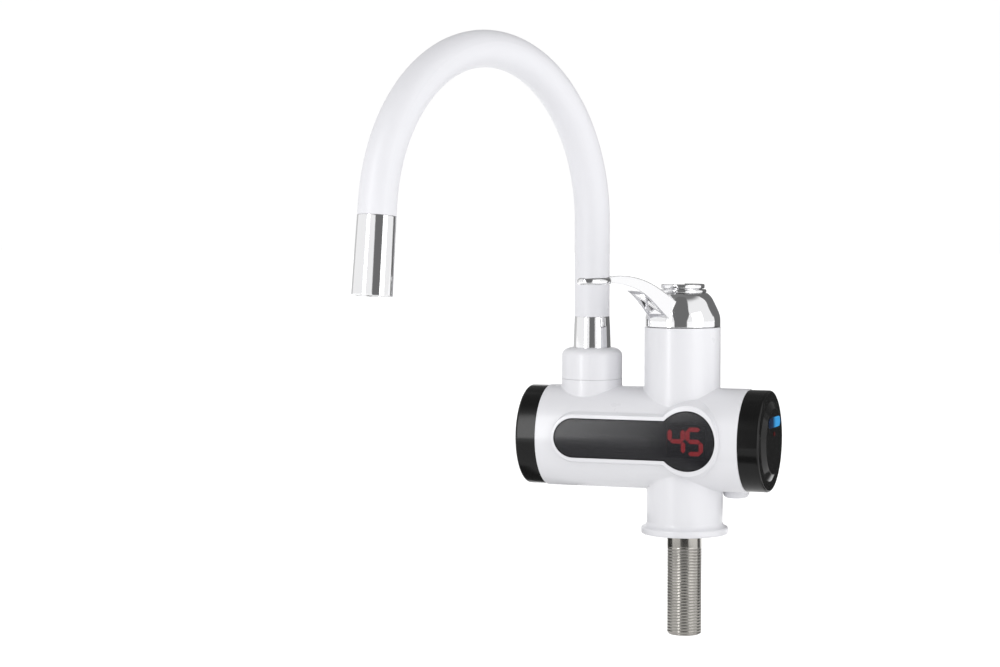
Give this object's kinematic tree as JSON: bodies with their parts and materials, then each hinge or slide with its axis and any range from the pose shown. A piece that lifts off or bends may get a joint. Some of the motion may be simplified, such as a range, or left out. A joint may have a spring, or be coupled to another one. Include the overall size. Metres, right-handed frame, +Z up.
{
  "type": "electric instant water heater tap",
  "caption": "Deck-mounted kitchen tap with a level heater body, black end caps, keyhole temperature display, top lever and a flexible gooseneck that swivels.",
  "frame": {"origin": "centre of the base flange's underside, on the inlet pipe's axis, level with the sink deck", "axes": "+Z up; +X along the heater body towards its right end cap; the display faces -Y"},
  "size_m": [0.1885, 0.2352, 0.3607],
  "materials": {
    "white_plastic": "glossy white moulding",
    "black_plastic": "satin black moulding",
    "smoked_lens": "smoked acrylic",
    "lit_digits": "red light-emitting segments",
    "blue_lamp": "translucent blue",
    "red_lamp": "translucent red",
    "chrome_plate": "polished chrome plate",
    "thread_steel": "nickel-plated thread",
    "tank_steel": "stainless steel",
    "screw_steel": "zinc-plated steel",
    "valve_brass": "cast and turned brass",
    "white_silicone": "satin white silicone",
    "white_rubber": "white rubber",
    "black_rubber": "black rubber",
    "circuit_board": "green circuit board",
    "cartridge_plastic": "grey acetal",
    "aerator_plastic": "white acetal",
    "ceramic": "ground ceramic"
  },
  "bodies": {
    "heater_body": {"main_housing": "white_plastic", "base_seal": "black_rubber", "inlet_pipe": "thread_steel", "cord_bushing": "white_rubber", "left_end_cap": "black_plastic", "right_end_cap": "black_plastic", "left_cap_cover": "black_plastic", "right_cap_cover": "black_plastic", "blue_lamp_lens": "blue_lamp", "red_lamp_lens": "red_lamp", "left_cap_screws": "screw_steel", "right_cap_screws": "screw_steel", "display_lens": "smoked_lens", "display_module": "black_plastic", "digit_segments": "lit_digits", "control_board": "circuit_board", "power_triac": "black_plastic", "heating_tank": "tank_steel", "heating_element": "tank_steel", "thermal_cutout": "black_plastic", "valve_manifold": "valve_brass", "cartridge_seal": "black_rubber", "cartridge_body": "cartridge_plastic", "fixed_ceramic_disc": "ceramic", "cartridge_nut": "valve_brass", "spout_seat": "valve_brass", "spout_nut": "white_plastic", "pressure_switch_body": "cartridge_plastic", "pressure_spring": "tank_steel", "micro_switch": "black_plastic"},
    "lever_body": {"lever": "chrome_plate", "lever_screw": "screw_steel", "index_button": "chrome_plate", "cartridge_stem": "cartridge_plastic", "turning_ceramic_disc": "ceramic"},
    "spout_body": {"spout_ferrule": "chrome_plate", "spout_seals": "black_rubber", "hose_sleeve": "white_silicone", "hose_core": "tank_steel", "nozzle_shell": "chrome_plate", "aerator_insert": "aerator_plastic", "aerator_washer": "black_rubber"},
    "plunger_body": {"pressure_plunger": "aerator_plastic"}
  },
  "joints": [
    {"name": "lever_turn", "type": "hinge", "parent": "heater_body", "child": "lever_body", "pos_m": [-0.0018, 0, 0.1168], "axis": [0, 0, 1], "range_deg": [-37, 83]},
    {"name": "spout_swivel", "type": "hinge", "parent": "heater_body", "child": "spout_body", "pos_m": [-0.0595, 0, 0.0928], "axis": [0, 0, 1], "continuous": true},
    {"name": "plunger_travel", "type": "slide", "parent": "heater_body", "child": "plunger_body", "axis": [0, 0, 1], "range_m": [0, 0.0015], "stiffness_N_per_m": 300, "springref_m": -0.002, "deforming": ["pressure_spring"]}
  ]
}
